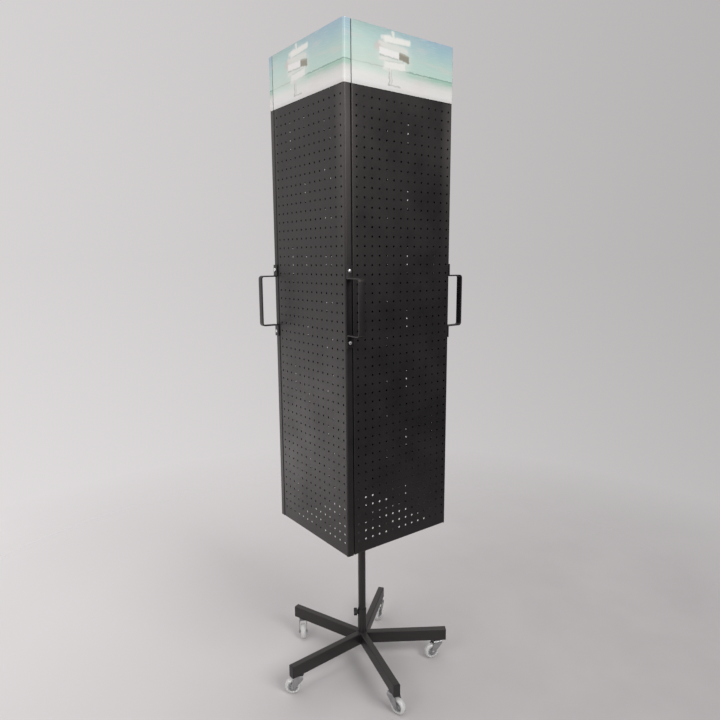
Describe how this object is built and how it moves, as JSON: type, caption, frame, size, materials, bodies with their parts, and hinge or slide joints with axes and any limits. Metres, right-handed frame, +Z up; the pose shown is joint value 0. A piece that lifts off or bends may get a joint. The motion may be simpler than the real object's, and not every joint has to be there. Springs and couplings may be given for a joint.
{
  "type": "pegboard display stand",
  "caption": "Square rotating pegboard tower with a printed header band and side handles, on a round pole and a star base with swivel casters.",
  "frame": {"origin": "on the floor, on the axis of the pole that the tower turns about", "axes": "+Z up along the pole; at rest the tower faces look along -Y, +X, +Y and -X, and -Y is the right-hand face in the picture"},
  "size_m": [0.5477, 0.5666, 1.95],
  "materials": {
    "black_powder_coat": "satin black powder coat with a fine texture",
    "zinc_plate": "zinc-plated pressed steel",
    "bright_screw": "bright plated screw heads",
    "black_plastic": "moulded matt black plastic",
    "clear_wheel": "clear polyurethane wheel, slightly grey",
    "header_print": "printed sheet with a semi-gloss surface"
  },
  "bodies": {
    "base": {"base_socket": "black_powder_coat", "leg_1": "black_powder_coat", "leg_2": "black_powder_coat", "leg_3": "black_powder_coat", "leg_4": "black_powder_coat", "leg_5": "black_powder_coat", "leg_cap_1": "black_plastic", "leg_cap_2": "black_plastic", "leg_cap_3": "black_plastic", "leg_cap_4": "black_plastic", "leg_cap_5": "black_plastic", "caster_stem_1": "zinc_plate", "caster_stem_2": "zinc_plate", "caster_stem_3": "zinc_plate", "caster_stem_4": "zinc_plate", "caster_stem_5": "zinc_plate"},
    "pole": {"pole": "black_powder_coat", "thrust_collar": "black_powder_coat", "pole_pivot": "black_plastic"},
    "tower": {"lower_cross": "black_powder_coat", "upper_cross": "black_powder_coat", "panel_1": "black_powder_coat", "panel_2": "black_powder_coat", "panel_3": "black_powder_coat", "panel_4": "black_powder_coat", "header_1": "header_print", "header_2": "header_print", "header_3": "header_print", "header_4": "header_print", "handle_1": "black_powder_coat", "handle_2": "black_powder_coat", "handle_3": "black_powder_coat", "handle_4": "black_powder_coat", "handle_screw_1a": "bright_screw", "handle_screw_1b": "bright_screw", "handle_screw_2a": "bright_screw", "handle_screw_2b": "bright_screw", "handle_screw_3a": "bright_screw", "handle_screw_3b": "bright_screw", "handle_screw_4a": "bright_screw", "handle_screw_4b": "bright_screw"},
    "lock_stud": {"lock_stud": "zinc_plate"},
    "lock_knob": {"lock_knob": "black_plastic"},
    "caster_1": {"caster_fork_1": "zinc_plate", "caster_axle_1": "zinc_plate"},
    "wheel_1": {"caster_wheel_1": "clear_wheel"},
    "caster_2": {"caster_fork_2": "zinc_plate", "caster_axle_2": "zinc_plate"},
    "wheel_2": {"caster_wheel_2": "clear_wheel"},
    "caster_3": {"caster_fork_3": "zinc_plate", "caster_axle_3": "zinc_plate"},
    "wheel_3": {"caster_wheel_3": "clear_wheel"},
    "caster_4": {"caster_fork_4": "zinc_plate", "caster_axle_4": "zinc_plate"},
    "wheel_4": {"caster_wheel_4": "clear_wheel"},
    "caster_5": {"caster_fork_5": "zinc_plate", "caster_axle_5": "zinc_plate"},
    "wheel_5": {"caster_wheel_5": "clear_wheel"}
  },
  "joints": [
    {"name": "pole_height", "type": "slide", "parent": "base", "child": "pole", "axis": [0, 0, 1], "range_m": [0, 0.05]},
    {"name": "tower_turn", "type": "hinge", "parent": "pole", "child": "tower", "pos_m": [0, 0, 0.5187], "axis": [0, 0, 1], "continuous": true},
    {"name": "lock_stud_travel", "type": "slide", "parent": "base", "child": "lock_stud", "axis": [-0.831, 0.5563, 0], "range_m": [0, 0.0025]},
    {"name": "lock_knob_turn", "type": "hinge", "parent": "lock_stud", "child": "lock_knob", "pos_m": [0, 0, 0.177], "axis": [-0.831, 0.5563, 0], "range_deg": [0, 720]},
    {"name": "caster_swivel_1", "type": "hinge", "parent": "base", "child": "caster_1", "pos_m": [0.20275, 0.15955, 0.06], "axis": [0, 0, 1], "continuous": true},
    {"name": "wheel_roll_1", "type": "hinge", "parent": "caster_1", "child": "wheel_1", "pos_m": [0.18579, 0.14895, 0.025], "axis": [0.5299, -0.848, 0], "continuous": true},
    {"name": "caster_swivel_2", "type": "hinge", "parent": "base", "child": "caster_2", "pos_m": [-0.08909, 0.24213, 0.06], "axis": [0, 0, 1], "continuous": true},
    {"name": "wheel_roll_2", "type": "hinge", "parent": "caster_2", "child": "wheel_2", "pos_m": [-0.09924, 0.2249, 0.025], "axis": [0.8616, -0.5075, 0], "continuous": true},
    {"name": "caster_swivel_3", "type": "hinge", "parent": "base", "child": "caster_3", "pos_m": [-0.25781, -0.0099, 0.06], "axis": [0, 0, 1], "continuous": true},
    {"name": "wheel_roll_3", "type": "hinge", "parent": "caster_3", "child": "wheel_3", "pos_m": [-0.27382, 0.00208, 0.025], "axis": [-0.599, -0.8007, 0], "continuous": true},
    {"name": "caster_swivel_4", "type": "hinge", "parent": "base", "child": "caster_4", "pos_m": [-0.07025, -0.24825, 0.06], "axis": [0, 0, 1], "continuous": true},
    {"name": "wheel_roll_4", "type": "hinge", "parent": "caster_4", "child": "wheel_4", "pos_m": [-0.06568, -0.26772, 0.025], "axis": [0.9736, 0.2284, 0], "continuous": true},
    {"name": "caster_swivel_5", "type": "hinge", "parent": "base", "child": "caster_5", "pos_m": [0.21439, -0.14352, 0.06], "axis": [0, 0, 1], "continuous": true},
    {"name": "wheel_roll_5", "type": "hinge", "parent": "caster_5", "child": "wheel_5", "pos_m": [0.19546, -0.13708, 0.025], "axis": [-0.3223, -0.9466, 0], "continuous": true}
  ],
  "couplings": [
    {"joint": "lock_knob_turn", "follows": "lock_stud_travel", "rad_per_m": 5026.5}
  ]
}
